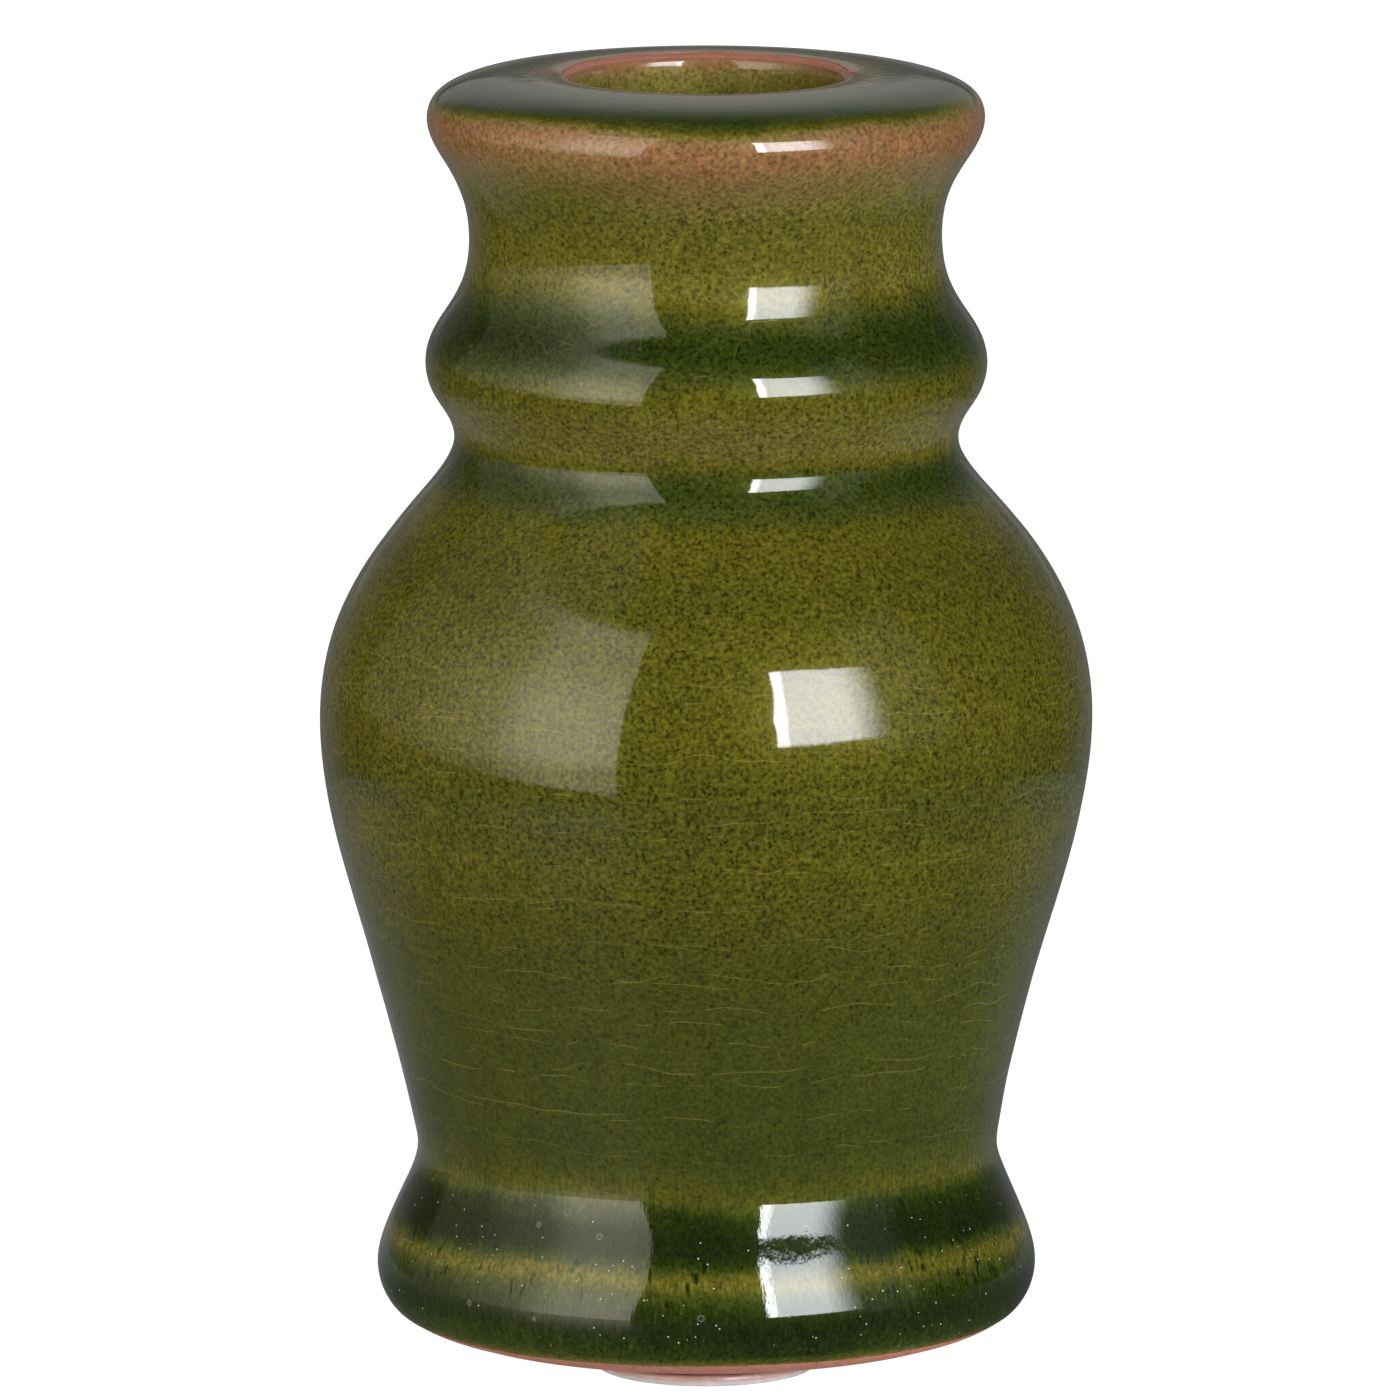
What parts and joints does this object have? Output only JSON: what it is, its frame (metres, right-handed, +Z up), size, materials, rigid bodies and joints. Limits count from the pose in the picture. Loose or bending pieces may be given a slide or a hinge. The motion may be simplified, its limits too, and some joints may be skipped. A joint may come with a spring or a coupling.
{
  "type": "bud vase",
  "caption": "Small turned ceramic bud vase with a flanged lip, ringed neck, round belly and flared foot on thin adhesive pads.",
  "frame": {"origin": "on the vase's axis, at the level of the table, under the pads", "axes": "+Z up along the axis of the vase, -Y towards the viewer, +X to the viewer's right"},
  "size_m": [0.0606, 0.0606, 0.1],
  "materials": {
    "clay": "unglazed fired earthenware, matt",
    "outer_glaze": "transparent olive green crackle glaze, glossy",
    "inner_glaze": "transparent olive glaze, glossy",
    "pad": "translucent silicone, satin",
    "adhesive": "pressure-sensitive adhesive film, matt"
  },
  "bodies": {
    "root": {"clay_body": "clay", "outer_glaze": "outer_glaze", "inner_glaze": "inner_glaze", "foot_pad_front": "pad", "foot_pad_rear_right": "pad", "foot_pad_rear_left": "pad", "pad_adhesive_front": "adhesive", "pad_adhesive_rear_right": "adhesive", "pad_adhesive_rear_left": "adhesive"}
  },
  "joints": []
}
